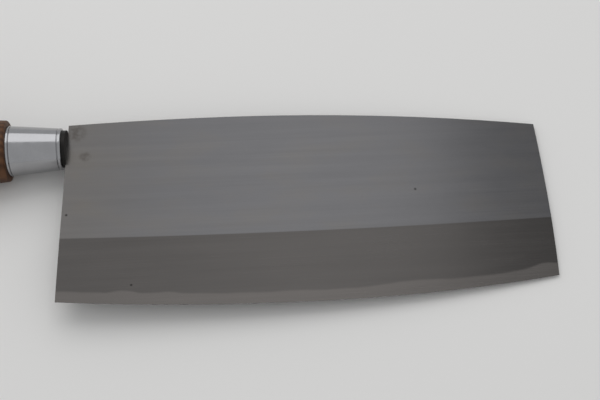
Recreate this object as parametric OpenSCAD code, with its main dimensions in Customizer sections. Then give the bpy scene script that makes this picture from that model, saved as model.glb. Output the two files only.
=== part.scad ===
// Chinese cleaver with a laminated blade, a welded stick tang and a round wooden handle.
// It lies on its side as on a table: +X to the tip, +Y to the spine, +Z up.
// The knife is drawn straight, heel on the YZ plane and handle on the X axis, and then laid down.

/* [Blade outline] */
// Distance along the handle's axis from the heel to the top corner of the tip side
blade_length = 223.6; // [180:0.1:240]
// Height of the spine's highest point above the handle's axis
spine_rise = 14.5; // [12:0.1:20]
// Depth of the cutting edge's lowest point below the handle's axis
edge_drop = 85; // [70:0.5:95]
// Distance from the heel to the spine's highest point
spine_crown_x = 74; // [50:1:120]
// Radius of the spine between the heel and its highest point
spine_rear_r = 1450; // [900:10:3000]
// Radius of the spine between its highest point and the tip
spine_front_r = 1000; // [900:10:3000]
// Distance from the heel to the cutting edge's lowest point
edge_belly_x = 116; // [80:1:140]
// Radius of the cutting edge between the heel and its lowest point
edge_rear_r = 1175; // [700:5:3000]
// Radius of the cutting edge between its lowest point and the tip
edge_front_r = 825; // [700:5:3000]
// Lean of the heel side, in degrees: its lower end lies further back
heel_lean = 1.3; // [0:0.1:4]
// Lean of the tip side, in degrees: its lower end lies further back
tip_lean = 4.1; // [0:0.1:6]
// Radius of the slight bow of the tip side
tip_bow_r = 1150; // [600:10:3000]

/* [Blade section] */
// Thickness of the blade above the bevel
blade_t = 2.2; // [1.8:0.1:4]
// Thickness of the hard steel layer in the middle of the blade
core_t = 0.5; // [0.4:0.05:0.9]
// Depth of the bevel's shoulder below the handle's axis
shoulder_drop = 50.7; // [40:0.5:60]
// Distance from the heel to the shoulder's lowest point
shoulder_x = 122; // [60:1:160]
// Radius of the shoulder line, as left by the grinding wheel's path
shoulder_r = 4000; // [2000:50:8000]
// Thickness that the wide bevel alone would leave at the edge's lowest point
bevel_edge_t = 0.12; // [0.06:0.01:0.3]
// Thickness of the sharpened edge itself
edge_t = 0.06; // [0.04:0.01:0.2]
// Height of the hard steel that shows along the edge
core_show = 5; // [3:0.1:9]

/* [Tang] */
// Width of the flat tang at the heel
tang_w = 13; // [8:0.5:14]
// Width of the flat tang at its rear end
tang_end_w = 8; // [6:0.5:8]
// Length of the flat part of the tang
tang_flat_l = 52; // [30:1:80]
// Diameter of the tang's round rear part
tang_rod_d = 5.5; // [4:0.1:6]
// Diameter of the tang's peened head
peen_d = 8.5; // [7:0.1:9]
// Height of the tang's peened head
peen_h = 1.4; // [0.8:0.1:2]

/* [Collar and ferrule] */
// Diameter of the collar between the ferrule and the heel
collar_d = 17.4; // [15:0.1:18]
// Length of the collar that shows in front of the ferrule
collar_show = 1.9; // [1:0.1:4]
// Length of the collar that sits inside the ferrule
collar_seat = 5; // [3:0.1:8]
// Diameter of the ferrule at its blade end
ferrule_front_d = 19.6; // [19:0.1:22]
// Diameter of the ferrule at its handle end
ferrule_rear_d = 23.2; // [22:0.1:26]
// Length of the ferrule
ferrule_l = 24.4; // [18:0.1:35]
// Wall of the ferrule
ferrule_wall = 0.9; // [0.6:0.05:1.2]
// Width of the raised bead at the ferrule's handle end
rear_bead_w = 1.6; // [1:0.1:3]
// Width of the rolled bead at the ferrule's blade end
front_bead_w = 1.7; // [1.4:0.1:3]
// Radius of the front bead's rounded corner
front_bead_round = 0.9; // [0.3:0.1:0.9]
// Width and depth of the turned groove beside each bead
groove = 0.4; // [0.2:0.05:0.5]

/* [Handle] */
// Length of the wood behind the ferrule
handle_l = 100; // [85:1:120]
// Largest diameter of the handle
handle_d = 32; // [28:0.5:36]
// Distance from the ferrule to the handle's thickest place
handle_belly = 53; // [40:1:60]
// Radius of the belly along the handle
handle_belly_r = 780; // [500:10:1500]
// Radius of the rounded front shoulder
front_round = 1.6; // [0.5:0.1:3]
// Radius of the rounded butt
butt_round = 5; // [2:0.1:7]
// Length of the wooden spigot inside the ferrule
spigot_l = 16; // [10:0.5:18]
// Diameter of the butt washer
washer_d = 14; // [12:0.5:18]
// Thickness of the butt washer
washer_t = 1.6; // [1:0.1:2.5]

/* [Fits] */
// Gap all round between the tang and what it passes through
tang_gap = 0.15; // [0.1:0.05:0.4]
// Gap all round between round pieces that slide together
sleeve_gap = 0.1; // [0.05:0.05:0.3]

/* [Hidden] */

fine = 1440;
turned = 96;
margin = 20;
overlap = 1;
reach = blade_length + 2 * margin;

collar_rear = -collar_show - collar_seat;
ferrule_front = -collar_show;
ferrule_rear = ferrule_front - ferrule_l;
handle_rear = ferrule_rear - handle_l;
belly_x = ferrule_rear - handle_belly;
butt_x = handle_rear - peen_h;
spigot_front = ferrule_rear + spigot_l;
ferrule_taper = (ferrule_rear_d - ferrule_front_d) / 2 / (ferrule_l - rear_bead_w - front_bead_w);
rear_wall_r = ferrule_rear_d / 2 - ferrule_wall;
collar_bore_r = collar_d / 2 + sleeve_gap;

// The side that lies down rests on the belly of the handle and on the tip's upper corner.
tip_y = spine_rise - spine_front_r + sqrt(pow(spine_front_r, 2) - pow(blade_length - spine_crown_x, 2));
bow_half = asin((edge_drop + tip_y) / 2 / tip_bow_r);
to_belly_x = belly_x - blade_length;
to_belly_z = handle_belly_r - handle_d / 2 + blade_t / 2;
to_belly = sqrt(pow(to_belly_x, 2) + pow(to_belly_z, 2));
pitch = atan2(to_belly_z, to_belly_x) + asin(handle_belly_r / to_belly) - 180;
lift = blade_length * sin(pitch) + blade_t / 2 * cos(pitch);
middle_x = (blade_length + butt_x) / 2 * cos(pitch);
middle_y = (max(spine_rise, handle_d / 2) - edge_drop) / 2;

// Radius of the handle at a place along its axis
function handle_r(x) = handle_d / 2 - handle_belly_r + sqrt(pow(handle_belly_r, 2) - pow(x - belly_x, 2));

// Outer radius of the ferrule's cone at a place along its axis
function ferrule_r(x) = ferrule_front_d / 2
    + ferrule_taper * max(0, min(ferrule_front - front_bead_w - x, ferrule_l - rear_bead_w - front_bead_w));

module laid_down() {
    translate([-middle_x, -middle_y, lift])
        rotate([0, pitch, 0])
            children();
}

// A section drawn as [radius, place along the axis], turned round the handle's axis
module turn() {
    rotate([0, 90, 0])
        rotate_extrude($fn = turned)
            children();
}

// The part of a section that a rounded outer corner takes away
module corner_waste(r, x, round_r, side) {
    difference() {
        translate([r - round_r, side > 0 ? x - round_r : x - overlap])
            square([round_r + overlap, round_r + overlap]);
        translate([r - round_r, x - side * round_r])
            circle(r = round_r, $fn = turned);
    }
}

module behind(x) {
    translate([x - reach, -reach])
        square([reach, 2 * reach]);
}

module ahead(x) {
    translate([x, -reach])
        square([reach, 2 * reach]);
}

// Spine, heel side and tip side, open towards the cutting edge
module outline() {
    intersection() {
        union() {
            intersection() {
                translate([spine_crown_x, spine_rise - spine_rear_r])
                    circle(r = spine_rear_r, $fn = fine);
                behind(spine_crown_x);
            }
            intersection() {
                translate([spine_crown_x, spine_rise - spine_front_r])
                    circle(r = spine_front_r, $fn = fine);
                ahead(spine_crown_x);
            }
        }
        rotate(-heel_lean)
            ahead(0);
        translate([blade_length, tip_y])
            rotate(-tip_lean)
                translate([-tip_bow_r * cos(bow_half), -tip_bow_r * sin(bow_half)])
                    circle(r = tip_bow_r, $fn = fine);
    }
}

// A disc whose rim is ground down to a thin edge on both sides
module ground_disc(shoulder, rim, rim_t) {
    rotate_extrude($fn = fine)
        polygon([
            [0, -blade_t / 2],
            [shoulder, -blade_t / 2],
            [rim, -rim_t / 2],
            [rim, rim_t / 2],
            [shoulder, blade_t / 2],
            [0, blade_t / 2]
        ]);
}

// The wide bevel: flat above the shoulder, thin at the edge
module wide_bevel() {
    translate([shoulder_x, shoulder_r - shoulder_drop, 0])
        ground_disc(shoulder_r, shoulder_r + edge_drop - shoulder_drop, bevel_edge_t);
}

// The cutting edge, ground along one of its two arcs
module edge_arc(r) {
    fall = core_show * (blade_t - edge_t) / (core_t - edge_t);
    translate([edge_belly_x, r - edge_drop, 0])
        ground_disc(r - fall, r, edge_t);
}

module slab(low, high) {
    translate([0, 0, low])
        linear_extrude(high - low)
            children();
}

module blade() {
    intersection() {
        slab(-blade_t / 2, blade_t / 2)
            outline();
        wide_bevel();
        union() {
            intersection() {
                edge_arc(edge_rear_r);
                slab(-blade_t, blade_t)
                    behind(edge_belly_x);
            }
            intersection() {
                edge_arc(edge_front_r);
                slab(-blade_t, blade_t)
                    ahead(edge_belly_x);
            }
        }
    }
}

module blade_layer(low, high) {
    intersection() {
        blade();
        slab(low, high)
            square(2 * reach, center = true);
    }
}

// Everything behind the leaning plane of the heel
module behind_heel(half_t) {
    slab(-half_t, half_t)
        rotate(-heel_lean)
            behind(0);
}

module tang_flat(grow) {
    translate([0, 0, -blade_t / 2 - grow])
        linear_extrude(blade_t + 2 * grow)
            polygon([
                [overlap, -tang_w / 2 - grow],
                [overlap, tang_w / 2 + grow],
                [-tang_flat_l - grow, tang_end_w / 2 + grow],
                [-tang_flat_l - grow, -tang_end_w / 2 - grow]
            ]);
}

module rod(from_x, to_x, r1, r2) {
    translate([from_x, 0, 0])
        rotate([0, 90, 0])
            cylinder(h = to_x - from_x, r1 = r1, r2 = r2, $fn = turned);
}

module core_steel() {
    color("gainsboro")
        laid_down()
            blade_layer(-core_t / 2, core_t / 2);
}

module upper_cladding() {
    color("gray")
        laid_down()
            blade_layer(core_t / 2, blade_t / 2);
}

module lower_cladding() {
    color("gray")
        laid_down()
            blade_layer(-blade_t / 2, -core_t / 2);
}

module tang() {
    color("dimgray")
        laid_down()
            union() {
                intersection() {
                    tang_flat(0);
                    behind_heel(blade_t);
                }
                rod(handle_rear - peen_h / 2, -tang_flat_l + tang_rod_d, tang_rod_d / 2, tang_rod_d / 2);
                rod(butt_x, handle_rear, peen_d / 2 - peen_h, peen_d / 2);
            }
}

module collar() {
    color([0.16, 0.15, 0.14])
        laid_down()
            difference() {
                intersection() {
                    rod(collar_rear, overlap, collar_d / 2, collar_d / 2);
                    behind_heel(collar_d);
                }
                tang_flat(tang_gap);
            }
}

// Section of the ferrule: rolled front bead, groove, cone, groove, rear bead
module ferrule_section() {
    front_r = ferrule_front_d / 2;
    rear_r = ferrule_rear_d / 2;
    bead_x = ferrule_front - front_bead_w;
    rear_bead_x = ferrule_rear + rear_bead_w;
    spigot_stop_r = ferrule_r(spigot_front) - ferrule_wall;
    difference() {
        polygon([
            [collar_bore_r, ferrule_front],
            [front_r, ferrule_front],
            [front_r, bead_x + groove],
            [front_r - groove, bead_x + groove],
            [front_r - groove, bead_x],
            [front_r, bead_x],
            [rear_r, rear_bead_x],
            [rear_r - groove, rear_bead_x],
            [rear_r - groove, rear_bead_x - groove],
            [rear_r + groove / 2, rear_bead_x - groove],
            [rear_r + groove / 2, ferrule_rear],
            [rear_wall_r, ferrule_rear],
            [spigot_stop_r, spigot_front],
            [collar_bore_r, collar_rear]
        ]);
        corner_waste(front_r, ferrule_front, front_bead_round, 1);
    }
}

module ferrule() {
    color("silver")
        laid_down()
            turn()
                ferrule_section();
}

// Section of the handle: belly, rounded ends, and the spigot that fills the ferrule
module handle_section() {
    spigot_r = ferrule_r(spigot_front) - ferrule_wall - sleeve_gap;
    union() {
        difference() {
            intersection() {
                translate([handle_d / 2 - handle_belly_r, belly_x])
                    circle(r = handle_belly_r, $fn = fine);
                translate([0, handle_rear])
                    square([handle_d, handle_l]);
            }
            corner_waste(handle_r(ferrule_rear), ferrule_rear, front_round, 1);
            corner_waste(handle_r(handle_rear), handle_rear, butt_round, -1);
        }
        polygon([
            [0, ferrule_rear - overlap],
            [rear_wall_r - sleeve_gap, ferrule_rear - overlap],
            [rear_wall_r - sleeve_gap, ferrule_rear],
            [spigot_r, spigot_front],
            [0, spigot_front]
        ]);
    }
}

module wooden_handle() {
    color([0.45, 0.27, 0.14])
        laid_down()
            difference() {
                turn()
                    handle_section();
                tang_flat(tang_gap);
                rod(handle_rear - overlap, -tang_flat_l + tang_rod_d, tang_rod_d / 2 + tang_gap,
                    tang_rod_d / 2 + tang_gap);
                rod(handle_rear - overlap, handle_rear + washer_t, washer_d / 2 + sleeve_gap,
                    washer_d / 2 + sleeve_gap);
            }
}

module butt_washer() {
    color("darkgray")
        laid_down()
            difference() {
                rod(handle_rear, handle_rear + washer_t, washer_d / 2, washer_d / 2);
                rod(handle_rear - overlap, handle_rear + washer_t + overlap, tang_rod_d / 2 + tang_gap,
                    tang_rod_d / 2 + tang_gap);
            }
}

core_steel();
upper_cladding();
lower_cladding();
tang();
collar();
ferrule();
wooden_handle();
butt_washer();
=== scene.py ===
import math

import bpy
import numpy as np
from mathutils import Euler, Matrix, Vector


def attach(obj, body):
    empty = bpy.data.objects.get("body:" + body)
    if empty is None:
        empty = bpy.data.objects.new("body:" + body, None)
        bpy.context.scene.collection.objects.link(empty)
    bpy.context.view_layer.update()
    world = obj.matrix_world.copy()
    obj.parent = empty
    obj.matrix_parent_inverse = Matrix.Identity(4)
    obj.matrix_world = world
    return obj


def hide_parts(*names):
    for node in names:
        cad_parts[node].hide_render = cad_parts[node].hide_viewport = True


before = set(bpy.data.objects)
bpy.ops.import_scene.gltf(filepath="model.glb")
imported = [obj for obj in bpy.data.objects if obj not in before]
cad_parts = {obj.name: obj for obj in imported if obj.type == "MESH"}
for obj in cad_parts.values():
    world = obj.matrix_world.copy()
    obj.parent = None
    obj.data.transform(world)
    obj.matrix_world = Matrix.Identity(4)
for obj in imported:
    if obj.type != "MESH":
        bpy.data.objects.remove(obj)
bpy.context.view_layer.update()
print("frame loaded:", ", ".join(sorted(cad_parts)))

# The knife's own frame, in metres: X along the handle to the tip, Y to the spine, heel on the YZ plane.
knife = {
    "bladeLength": 0.2236,
    "bladeThickness": 0.0022,
    "spineRise": 0.0145,
    "edgeDrop": 0.085,
    "edgeBellyX": 0.116,
    "edgeRearRadius": 1.175,
    "edgeFrontRadius": 0.825,
    "shoulderX": 0.122,
    "shoulderDrop": 0.0507,
    "shoulderRadius": 4.0,
    "collarShow": 0.0019,
    "ferruleLength": 0.0244,
    "handleLength": 0.100,
    "handleDiameter": 0.032,
    "handleBelly": 0.053,
    "bellyRadius": 0.780,
    "peenHeight": 0.0014,
}
ferruleFront = -knife["collarShow"]
ferruleRear = ferruleFront - knife["ferruleLength"]
handleRear = ferruleRear - knife["handleLength"]
bellyX = ferruleRear - knife["handleBelly"]

# The knife lies on the handle's belly and on the tip's upper corner. It is pitched by the slope of the
# line through that corner that touches the belly's arc: the direction from the corner to the arc's
# centre, plus the angle whose sine is the arc's radius over their distance, less half a turn.
toBellyX = bellyX - knife["bladeLength"]
toBellyZ = knife["bellyRadius"] - knife["handleDiameter"] / 2 + knife["bladeThickness"] / 2
touchAngle = math.asin(knife["bellyRadius"] / math.hypot(toBellyX, toBellyZ))
pitch = math.atan2(toBellyZ, toBellyX) + touchAngle - math.pi
lift = knife["bladeLength"] * math.sin(pitch) + knife["bladeThickness"] / 2 * math.cos(pitch)
middleX = (knife["bladeLength"] + handleRear - knife["peenHeight"]) / 2 * math.cos(pitch)
middleY = (max(knife["spineRise"], knife["handleDiameter"] / 2) - knife["edgeDrop"]) / 2


def layDown(points):
    # knife frame to table frame: turned about Y by the pitch, then shifted over the origin
    x, y, z = points[:, 0], points[:, 1], points[:, 2]
    alongTable = x * math.cos(pitch) + z * math.sin(pitch) - middleX
    height = -x * math.sin(pitch) + z * math.cos(pitch) + lift
    return np.stack([alongTable, y - middleY, height], axis=1)


class Wire:
    # a shader socket that takes part in Python arithmetic: each operator adds one Math node
    def __init__(self, shader, socket):
        self.shader = shader
        self.socket = socket

    def math(self, operation, *others):
        return self.shader.node("ShaderNodeMath", {"operation": operation}, [self, *others])

    def __add__(self, other):
        return self.math("ADD", other)

    def __radd__(self, other):
        return self.math("ADD", other)

    def __sub__(self, other):
        return self.math("SUBTRACT", other)

    def __rsub__(self, other):
        return self.shader.node("ShaderNodeMath", {"operation": "SUBTRACT"}, [other, self])

    def __mul__(self, other):
        return self.math("MULTIPLY", other)

    def __rmul__(self, other):
        return self.math("MULTIPLY", other)

    def __gt__(self, other):
        return self.math("GREATER_THAN", other)


class Shader:
    # one material: constants go on the surface's own sockets, wires are linked to them
    def __init__(self, name, **constants):
        self.material = bpy.data.materials.new(name)
        self.material.use_nodes = True
        self.nodes = self.material.node_tree.nodes
        self.links = self.material.node_tree.links
        self.surface = self.nodes["Principled BSDF"]
        self.set(**constants)

    def put(self, target, value):
        # a wire is linked, a colour gets its fourth channel, anything else is the socket's value
        if isinstance(value, Wire):
            self.links.new(value.socket, target)
        elif target.type == "RGBA":
            target.default_value = (*value, 1)
        else:
            target.default_value = value

    def set(self, **values):
        # the surface's sockets by name, with underscores for the spaces
        for name, value in values.items():
            self.put(self.surface.inputs[name.replace("_", " ")], value)

    def node(self, kind, settings=None, inputs=(), output=0):
        # any node: settings first, then its sockets' values or wires, by number or by name
        made = self.nodes.new(kind)
        for key, value in (settings or {}).items():
            setattr(made, key, value)
        pairs = inputs.items() if isinstance(inputs, dict) else enumerate(inputs)
        for key, value in pairs:
            self.put(made.inputs[key], value)
        return Wire(self, made.outputs[output])

    def place(self):
        # Object coordinates shifted and turned back into the knife's own frame: x, y and z in metres
        split = self.node("ShaderNodeSeparateXYZ", inputs=[self.node("ShaderNodeTexCoord", output="Object")])
        x, y, z = (Wire(self, socket) for socket in split.socket.node.outputs)
        x = x + middleX
        z = z - lift
        alongKnife = x * math.cos(pitch) - z * math.sin(pitch)
        height = x * math.sin(pitch) + z * math.cos(pitch)
        return (alongKnife, y + middleY, height)

    def vector(self, x, y, z):
        return self.node("ShaderNodeCombineXYZ", inputs=[x, y, z])

    def noise(self, place, cells, detail, roughness):
        # noise between 0 and 1, with so many cells to the metre along each of the three axes
        stretched = self.vector(*(axis * count for axis, count in zip(place, cells)))
        return self.node("ShaderNodeTexNoise",
                         inputs={"Vector": stretched, "Scale": 1.0, "Detail": detail, "Roughness": roughness},
                         output="Fac")

    def ramp(self, value, start, end, atStart, atEnd):
        # a number that goes smoothly from atStart to atEnd as the value goes from start to end
        sockets = {"Value": value, "From Min": start, "From Max": end, "To Min": atStart, "To Max": atEnd}
        return self.node("ShaderNodeMapRange", {"interpolation_type": "SMOOTHSTEP"}, sockets)

    def mix(self, factor, first, second):
        # first colour where the factor is 0, second colour where it is 1
        return self.node("ShaderNodeMix", {"data_type": "RGBA"}, {0: factor, 6: first, 7: second}, output=2)

    def scaled(self, colour, factor):
        # the colour times a number, by a multiplying Mix node
        grey = self.vector(factor, factor, factor)
        return self.node("ShaderNodeMix", {"data_type": "RGBA", "blend_type": "MULTIPLY"},
                         {0: 1.0, 6: colour, 7: grey}, output=2)

    def bump(self, height, strength, distance):
        # a normal from a height: the strength is a share, the distance is in metres
        return self.node("ShaderNodeBump",
                         inputs={"Height": height, "Strength": strength, "Distance": distance})


# Noises are written as (cells to the metre along x, y and z), detail, roughness.
# Ramps are written as start, end, value at the start, value at the end.
bladeLook = {
    "flat": (0.110, 0.109, 0.113),
    # the bevel is the flat's soft steel, coloured darker here as painted shade
    "bevel": (0.078, 0.0735, 0.071),
    "core": (0.099, 0.092, 0.088),
    "warm": (0.112, 0.105, 0.098),
    "stain": (0.062, 0.0565, 0.0525),
    "flatRoughness": 0.23,
    "bevelRoughness": 0.25,
    "lines": ((18, 2600, 300), 4.0, 0.65),
    "streaks": ((5, 240, 40), 3.0, 0.6),
    "clouds": ((26, 60, 30), 4.0, 0.55),
    "wave": ((34, 1, 1), 3.0, 0.5),
    "waveRow": 0.4,
    "waveHeight": 0.0014,
    "blotches": ((420, 420, 1), 4.0, 0.6),
    "shoulderRamp": (-0.0002, 0.0003, 0.0, 1.0),
    "coreRamp": (0.0046, 0.0058, 1.0, 0.0),
    "heelWarmth": (0.0, 0.05, 0.6, 0.0),
    "cloudWarmth": (0.45, 0.7, 0.0, 0.35),
    # tones along the blade are painted light: painted shade towards the heel on the flat, the bevel and the
    # hard steel, painted shade towards the tip on the bevel, and a painted highlight towards the tip on the
    # hard steel
    "flatHeelShade": (0.0, 0.11, 0.87, 1.0),
    "bevelHeelTone": (0.0, 0.11, 0.78, 0.97),
    "bevelTipTone": (0.17, 0.222, 1.0, 0.84),
    "coreHeelShade": (0.0, 0.11, 0.88, 1.0),
    "coreTipHighlight": (0.15, 0.222, 1.0, 1.22),
    "lineTone": 0.30,
    "streakTone": 0.18,
    "cloudTone": 0.20,
    "lineRoughness": 0.14,
    "cloudRoughness": 0.08,
    "streakHeight": 0.6,
    "bumpStrength": 0.22,
    "bumpDistance": 0.00004,
    # place along the blade, half width and rise of each swell in the hard steel's upper boundary
    "swells": [
        (0.0265, 0.009, 0.0013),
        (0.046, 0.007, 0.0005),
        (0.150, 0.030, 0.0010),
        (0.212, 0.010, 0.0016),
    ],
    # place and radius of each mark
    "pits": [
        ((0.0013, -0.0368), 0.0008),
        ((0.160, -0.0311), 0.0008),
        ((0.0302, -0.0729), 0.0007),
    ],
    "stains": [
        ((0.0035, 0.008), 0.0065),
        ((0.0085, -0.0055), 0.0035),
    ],
    "markCore": 0.35,
    "pitDepth": 0.7,
    "stainRamp": (0.35, 0.6, 0.15, 0.85),
}


def edgeDistance(x, y):
    # height above the cutting edge: y less the edge's arcs, each taken as x squared over twice its radius
    along = x - knife["edgeBellyX"]
    onFront = along > 0.0
    rearCurve = 1 / knife["edgeRearRadius"]
    frontCurve = 1 / knife["edgeFrontRadius"]
    curve = onFront * (frontCurve - rearCurve) + rearCurve
    return y + knife["edgeDrop"] - along * along * curve * 0.5


def shoulderDistance(x, y):
    # height above the bevel's shoulder: y less a flat arc, taken as x squared over twice its radius
    along = x - knife["shoulderX"]
    return y + knife["shoulderDrop"] - along * along * (0.5 / knife["shoulderRadius"])


def marks(shader, x, y, places, core):
    # the sum of small round marks: each is 1 at its middle and falls smoothly to 0 at its radius
    total = 0.0
    for (markX, markY), radius in places:
        away = ((x - markX) * (x - markX) + (y - markY) * (y - markY)).math("SQRT")
        total = total + shader.ramp(away, radius * core, radius, 1.0, 0.0)
    return total


def steelShader(name, look):
    # brushed, laminated steel: the flat's colour above the shoulder, a darker copy of it below as painted
    # shade on the bevel, and the hard steel's up to a wavy height above the edge, each with painted shade and
    # highlight along the blade, then the stains, and all of it times one plus the brush lines, streaks and
    # clouds, and dark at the pits
    shader = Shader(name, Metallic=1.0)
    x, y, z = shader.place()
    lines = shader.noise((x, y, z), *look["lines"])
    streaks = shader.noise((x, y, z), *look["streaks"])
    clouds = shader.noise((x, y, z), *look["clouds"])
    wave = shader.noise((x, look["waveRow"], 0.0), *look["wave"])
    blotches = shader.noise((x, y, 0.0), *look["blotches"])

    onFlat = shader.ramp(shoulderDistance(x, y), *look["shoulderRamp"])
    height = edgeDistance(x, y) - (wave - 0.5) * (2 * look["waveHeight"])
    for at, halfWidth, rise in look["swells"]:
        height = height - shader.ramp((x - at).math("ABSOLUTE"), 0.0, halfWidth, rise, 0.0)
    onCore = shader.ramp(height, *look["coreRamp"])

    warmth = shader.ramp(x, *look["heelWarmth"]) + shader.ramp(clouds, *look["cloudWarmth"])
    flat = shader.mix(warmth, look["flat"], look["warm"])
    # painted shade towards the heel and the tip, and a painted highlight towards the tip of the hard steel
    flat = shader.scaled(flat, shader.ramp(x, *look["flatHeelShade"]))
    bevelTone = shader.ramp(x, *look["bevelHeelTone"]) * shader.ramp(x, *look["bevelTipTone"])
    corePaintedLight = shader.ramp(x, *look["coreHeelShade"]) * shader.ramp(x, *look["coreTipHighlight"])
    # below the shoulder the same steel gets the darker colour: painted shade on the bevel
    colour = shader.mix(onFlat, shader.scaled(look["bevel"], bevelTone), flat)
    colour = shader.mix(onCore, colour, shader.scaled(look["core"], corePaintedLight))

    stained = marks(shader, x, y, look["stains"], look["markCore"])
    stained = stained * shader.ramp(blotches, *look["stainRamp"])
    colour = shader.mix(stained, colour, look["stain"])
    tone = 1.0 + (lines - 0.5) * look["lineTone"]
    tone = tone + (streaks - 0.5) * look["streakTone"] + (clouds - 0.5) * look["cloudTone"]
    pitted = marks(shader, x, y, look["pits"], look["markCore"]) * look["pitDepth"]
    colour = shader.scaled(colour, tone * (1.0 - pitted))

    roughness = onFlat * (look["flatRoughness"] - look["bevelRoughness"]) + look["bevelRoughness"]
    roughness = roughness + (lines - 0.5) * look["lineRoughness"] + (clouds - 0.5) * look["cloudRoughness"]
    relief = shader.bump(lines + streaks * look["streakHeight"], look["bumpStrength"], look["bumpDistance"])
    shader.set(Base_Color=colour, Roughness=roughness, Normal=relief)
    return shader.material


darkLook = {
    "tang": (0.20, 0.195, 0.19),
    "tangRoughness": 0.45,
    # the collar's near-black colour is painted shade and painted dark reflection at the junction of ferrule
    # and blade
    "collar": (0.019, 0.018, 0.017),
    "collarRoughness": 0.45,
    "washer": (0.36, 0.36, 0.355),
    "washerRoughness": 0.3,
    "metallic": 0.85,
    "mottle": ((420, 420, 420), 5.0, 0.65),
    "lowestTone": 0.6,
    "mottleTone": 0.8,
    "mottleRoughness": 0.3,
    "bumpStrength": 0.4,
    "bumpDistance": 0.00015,
}


def dullShader(name, colour, roughness, look):
    # scaled, dull steel: colour, roughness and relief all follow one mottled noise
    shader = Shader(name, Metallic=look["metallic"])
    mottle = shader.noise(shader.place(), *look["mottle"])
    shader.set(Base_Color=shader.scaled(colour, mottle * look["mottleTone"] + look["lowestTone"]),
               Roughness=(mottle - 0.5) * look["mottleRoughness"] + roughness,
               Normal=shader.bump(mottle, look["bumpStrength"], look["bumpDistance"]))
    return shader.material


def dress(node, material):
    # gives the solid of a node its material
    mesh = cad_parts[node].data
    mesh.materials.clear()
    mesh.materials.append(material)


bladeSteel = steelShader("bladeSteel", bladeLook)
dress("upper_cladding", bladeSteel)
dress("lower_cladding", bladeSteel)
dress("core_steel", bladeSteel)
dress("tang", dullShader("tangSteel", darkLook["tang"], darkLook["tangRoughness"], darkLook))
# the collar's material carries painted shade and painted dark reflection in its near-black colour
dress("collar", dullShader("collarPaintedShade", darkLook["collar"], darkLook["collarRoughness"], darkLook))
dress("butt_washer", dullShader("washerSteel", darkLook["washer"], darkLook["washerRoughness"], darkLook))
print("materials on the blade, collar, tang and washer")


def roundedLoop(corners, steps):
    # a closed section of (place along the axis, radius, rounding): each corner becomes a quadratic
    # curve between the points that lie one rounding away from it on its two sides
    spots = np.array([corner[:2] for corner in corners])
    rounds = np.array([corner[2] for corner in corners])
    ends = []
    for side in (np.roll(spots, 1, axis=0) - spots, np.roll(spots, -1, axis=0) - spots):
        length = np.linalg.norm(side, axis=1)
        share = np.minimum(rounds, 0.49 * length) / length
        ends.append((spots + side * share[:, None])[:, None])
    first, last = ends
    t = np.linspace(0, 1, steps)[None, :, None]
    curve = (1 - t) ** 2 * first + 2 * t * (1 - t) * spots[:, None] + t ** 2 * last
    loop = curve.reshape(-1, 2)
    shortest = 1e-7
    keep = np.linalg.norm(loop - np.roll(loop, 1, axis=0), axis=1) > shortest
    return loop[keep]


def turnedPiece(name, loop, material, node, segments):
    # a closed section carried round the handle's axis: x stays, y = r cos(angle), z = r sin(angle);
    # the faces run the other way round when the section's signed area is positive
    angle = np.linspace(0, 2 * math.pi, segments, endpoint=False)[:, None]
    x = np.repeat(loop[None, :, 0], segments, axis=0)
    y = loop[None, :, 1] * np.cos(angle)
    z = loop[None, :, 1] * np.sin(angle)
    here = np.arange(x.size).reshape(x.shape)
    around = np.roll(here, -1, axis=0)
    along = np.roll(here, -1, axis=1)
    both = np.roll(around, -1, axis=1)
    faces = np.stack([here, along, both, around], axis=-1).reshape(-1, 4)
    nextSpot = np.roll(loop, -1, axis=0)
    area = np.sum(loop[:, 0] * nextSpot[:, 1] - nextSpot[:, 0] * loop[:, 1])
    if area > 0:
        faces = faces[:, ::-1]
    points = layDown(np.stack([x, y, z], axis=-1).reshape(-1, 3))
    mesh = bpy.data.meshes.new(name)
    mesh.from_pydata(points, [], faces.tolist())
    mesh.shade_smooth()
    mesh.set_sharp_from_angle(angle=math.radians(50))
    mesh.materials.append(material)
    piece = bpy.data.objects.new(name, mesh)
    bpy.context.collection.objects.link(piece)
    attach(piece, "root")
    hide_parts(node)


ferrule = {
    "frontRadius": 0.0098,
    "rearRadius": 0.0116,
    "wall": 0.0009,
    "frontBead": 0.0017,
    "frontRound": 0.0008,
    "rearBead": 0.0016,
    "groove": 0.0004,
    "grooveSlope": 0.0001,
    "grooveRound": 0.00014,
    "boreRadius": 0.0088,
    "boreRound": 0.0002,
    "innerRound": 0.0001,
    "collarSeat": 0.005,
    "spigotLength": 0.016,
    "steps": 10,
    "segments": 160,
    "chrome": (0.36, 0.36, 0.37),
    "smoothest": 0.11,
    "dullest": 0.23,
    "rings": ((4000, 12, 12), 2.0, 0.5),
    "haze": ((160, 160, 160), 5.0, 0.6),
    "hazeRange": (0.35, 0.75),
    "hazeTone": 0.25,
    "ringTone": 0.08,
    "bumpStrength": 0.08,
    "bumpDistance": 0.00002,
}


def chromeShader(name, look):
    # polished chrome: one plus faint turning rings and haze for its tone, duller where the haze is thick
    shader = Shader(name, Metallic=1.0)
    place = shader.place()
    rings = shader.noise(place, *look["rings"])
    haze = shader.noise(place, *look["haze"])
    tone = 1.0 + (haze - 0.5) * look["hazeTone"] + (rings - 0.5) * look["ringTone"]
    shader.set(Base_Color=shader.scaled(look["chrome"], tone),
               Roughness=shader.ramp(haze, *look["hazeRange"], look["smoothest"], look["dullest"]),
               Normal=shader.bump(rings, look["bumpStrength"], look["bumpDistance"]))
    return shader.material


def ferruleRadius(x):
    # the cone between the beads: the radius grows evenly from the front bead to the rear bead
    front = ferruleFront - ferrule["frontBead"]
    rear = ferruleRear + ferrule["rearBead"]
    share = min(max((front - x) / (front - rear), 0), 1)
    return ferrule["frontRadius"] + (ferrule["rearRadius"] - ferrule["frontRadius"]) * share


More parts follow.
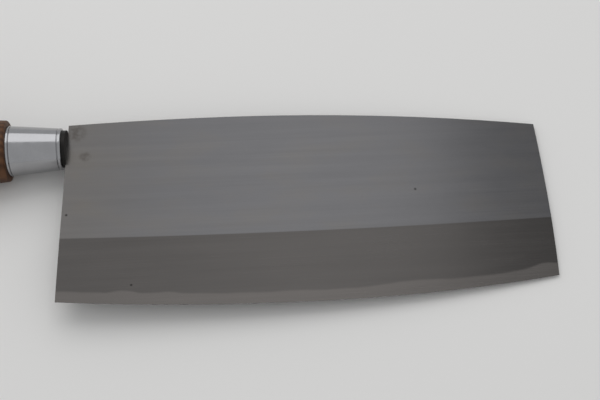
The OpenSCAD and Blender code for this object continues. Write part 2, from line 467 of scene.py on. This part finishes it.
def makeFerrule(look):
    # the section runs forward bore, rolled front bead, groove, cone, groove, rear bead and back inside
    front = look["frontRadius"]
    rear = look["rearRadius"]
    cut = look["groove"]
    slope = look["grooveSlope"]
    soft = look["grooveRound"]
    rearEnd = rear + cut / 2
    frontBead = ferruleFront - look["frontBead"]
    rearBead = ferruleRear + look["rearBead"]
    spigotFront = ferruleRear + look["spigotLength"]
    corners = [
        (ferruleFront, look["boreRadius"], look["boreRound"]),
        (ferruleFront, front, look["frontRound"]),
        (frontBead + cut, front, soft),
        (frontBead + cut - slope, front - cut, soft),
        (frontBead, front - cut, soft),
        (frontBead - slope, front, soft),
        (rearBead, rear, soft),
        (rearBead - slope, rear - cut, soft),
        (rearBead - cut + slope, rear - cut, soft),
        (rearBead - cut, rearEnd, soft),
        (ferruleRear, rearEnd, soft),
        (ferruleRear, rear - look["wall"], look["innerRound"]),
        (spigotFront, ferruleRadius(spigotFront) - look["wall"], look["innerRound"]),
        (ferruleFront - look["collarSeat"], look["boreRadius"], look["innerRound"]),
    ]
    turnedPiece("chrome_ferrule", roundedLoop(corners, look["steps"]), chromeShader("ferruleChrome", look),
                "ferrule", look["segments"])


makeFerrule(ferrule)
print("ferrule turned")

handle = {
    "frontRound": 0.0016,
    "buttRound": 0.005,
    "roundClearance": 1.1,
    "washerRadius": 0.0071,
    "washerThickness": 0.0016,
    "boreRadius": 0.0029,
    "sleeveGap": 0.0001,
    "bellyRound": 0.0002,
    "innerRound": 0.0001,
    "spigotRound": 0.0003,
    "recessRound": 0.0002,
    "stations": 60,
    "steps": 8,
    "segments": 160,
    "dark": (0.042, 0.017, 0.008),
    "light": (0.130, 0.058, 0.024),
    "pore": (0.016, 0.008, 0.004),
    "drift": ((9, 40, 40), 3.0, 0.5),
    "fibres": ((60, 2400, 2400), 4.0, 0.6),
    "pores": ((190, 3000, 3000), 2.0, 0.5),
    "poreRamp": (0.62, 0.72, 0.0, 1.0),
    "ringStretch": (0.8, 1.0, 0.35),
    "ringDrift": (0.006, 0.004),
    "ringNode": {"Scale": 95.0, "Distortion": 3.2, "Detail": 3.0, "Detail Scale": 1.4},
    "ringShare": 0.6,
    "fibreShare": 0.4,
    "poreShare": 0.7,
    "specular": 0.22,
    "roughness": 0.46,
    "fibreRoughness": 0.16,
    "poreRoughness": 0.15,
    "fibreHeight": 0.5,
    "bumpStrength": 0.25,
    "bumpDistance": 0.00012,
}


def woodShader(name, look):
    # straight-grained hardwood: growth rings drawn out along the handle and bent a little by a slow
    # drift, fine fibres added to them, and short dark pores on top
    shader = Shader(name, Specular_IOR_Level=look["specular"])
    x, y, z = shader.place()
    drift = shader.noise((x, y, z), *look["drift"])
    stretchX, stretchY, stretchZ = look["ringStretch"]
    driftY, driftZ = look["ringDrift"]
    bent = shader.vector(x * stretchX, y * stretchY + drift * driftY, z * stretchZ + drift * driftZ)
    rings = shader.node("ShaderNodeTexWave", {"wave_type": "BANDS", "bands_direction": "Y"},
                        {"Vector": bent, **look["ringNode"]}, output="Fac")
    fibres = shader.noise((x, y, z), *look["fibres"])
    pores = shader.ramp(shader.noise((x, y, z), *look["pores"]), *look["poreRamp"])
    colour = shader.mix(rings * look["ringShare"] + fibres * look["fibreShare"], look["dark"], look["light"])
    colour = shader.mix(pores * look["poreShare"], colour, look["pore"])
    roughness = look["roughness"] + fibres * look["fibreRoughness"] + pores * look["poreRoughness"]
    relief = shader.bump(fibres * look["fibreHeight"] - pores, look["bumpStrength"], look["bumpDistance"])
    shader.set(Base_Color=colour, Roughness=roughness, Normal=relief)
    return shader.material


def bellyHeight(x):
    # the handle's radius along its length: an arc, thickest at bellyX
    radius = knife["bellyRadius"]
    return knife["handleDiameter"] / 2 - radius + np.sqrt(radius ** 2 - (x - bellyX) ** 2)


def makeHandle(look):
    # the section runs spigot, front shoulder, belly, butt, washer recess and back along the bore
    foremost = ferruleRear - look["frontRound"] * look["roundClearance"]
    rearmost = handleRear + look["buttRound"] * look["roundClearance"]
    places = np.linspace(foremost, rearmost, look["stations"])
    belly = [(place, radius, look["bellyRound"]) for place, radius in zip(places, bellyHeight(places))]
    spigotFront = ferruleRear + ferrule["spigotLength"]
    spigotRadius = ferruleRadius(spigotFront) - ferrule["wall"] - look["sleeveGap"]
    spigotRearRadius = ferrule["rearRadius"] - ferrule["wall"] - look["sleeveGap"]
    recess = handleRear + look["washerThickness"]
    corners = [
        (spigotFront, look["boreRadius"], look["innerRound"]),
        (spigotFront, spigotRadius, look["spigotRound"]),
        (ferruleRear, spigotRearRadius, look["innerRound"]),
        (ferruleRear, bellyHeight(ferruleRear), look["frontRound"]),
        *belly,
        (handleRear, bellyHeight(handleRear), look["buttRound"]),
        (handleRear, look["washerRadius"], look["spigotRound"]),
        (recess, look["washerRadius"], look["recessRound"]),
        (recess, look["boreRadius"], look["recessRound"]),
    ]
    turnedPiece("turned_handle", roundedLoop(corners, look["steps"]), woodShader("handleWood", look),
                "wooden_handle", look["segments"])


makeHandle(handle)
print("handle turned")

studio = {
    "floorHalf": 6.0,
    "floorColour": (0.80, 0.79, 0.775),
    "floorRoughness": 0.9,
    "worldColour": (0.78, 0.79, 0.80),
    "worldStrength": 0.8,
    "boxSize": (1.2, 1.0),
    "boxPlace": (-0.09, 0.62, 1.0),
    "boxPower": 3.7,
}


def makeFloor(look):
    # one flat square on the XY plane
    half = look["floorHalf"]
    mesh = bpy.data.meshes.new("floor")
    corners = [(-half, -half, 0), (half, -half, 0), (half, half, 0), (-half, half, 0)]
    mesh.from_pydata(corners, [], [(0, 1, 2, 3)])
    shader = Shader("floorPaper", Base_Color=look["floorColour"], Roughness=look["floorRoughness"])
    mesh.materials.append(shader.material)
    floor = bpy.data.objects.new("floor", mesh)
    bpy.context.collection.objects.link(floor)


def makeLight(look):
    # one large soft box turned to the origin, and an even pale world
    lamp = bpy.data.lights.new("softBox", "AREA")
    lamp.shape = "RECTANGLE"
    lamp.size, lamp.size_y = look["boxSize"]
    lamp.energy = look["boxPower"]
    softBox = bpy.data.objects.new("softBox", lamp)
    softBox.location = look["boxPlace"]
    softBox.rotation_euler = (-Vector(look["boxPlace"])).to_track_quat("-Z", "Y").to_euler()
    bpy.context.collection.objects.link(softBox)
    world = bpy.data.worlds.new("studio")
    world.use_nodes = True
    background = world.node_tree.nodes["Background"]
    background.inputs["Color"].default_value = (*look["worldColour"], 1)
    background.inputs["Strength"].default_value = look["worldStrength"]
    bpy.context.scene.world = world


view = {
    "place": (0.03972, -0.22717, 0.37698),
    "elevation": 58.25,
    "azimuth": 4.634,
    "roll": -0.205,
    "lens": 57.0,
    "sensor": 36.0,
    "nearest": 0.01,
}


def makeCamera(look):
    # looks down by the elevation, turned from +Y towards +X by the azimuth, then rolled about its own axis
    data = bpy.data.cameras.new("camera")
    data.lens = look["lens"]
    data.sensor_width = look["sensor"]
    data.clip_start = look["nearest"]
    camera = bpy.data.objects.new("camera", data)
    camera.location = look["place"]
    tilt = math.radians(90 - look["elevation"])
    aim = Euler((tilt, 0, math.radians(-look["azimuth"])), "XYZ").to_matrix()
    roll = Euler((0, 0, math.radians(look["roll"]))).to_matrix()
    camera.rotation_euler = (aim @ roll).to_euler()
    bpy.context.collection.objects.link(camera)
    bpy.context.scene.camera = camera


makeFloor(studio)
makeLight(studio)
makeCamera(view)
bpy.context.scene.view_settings.view_transform = "Standard"
print("floor, light and camera set")
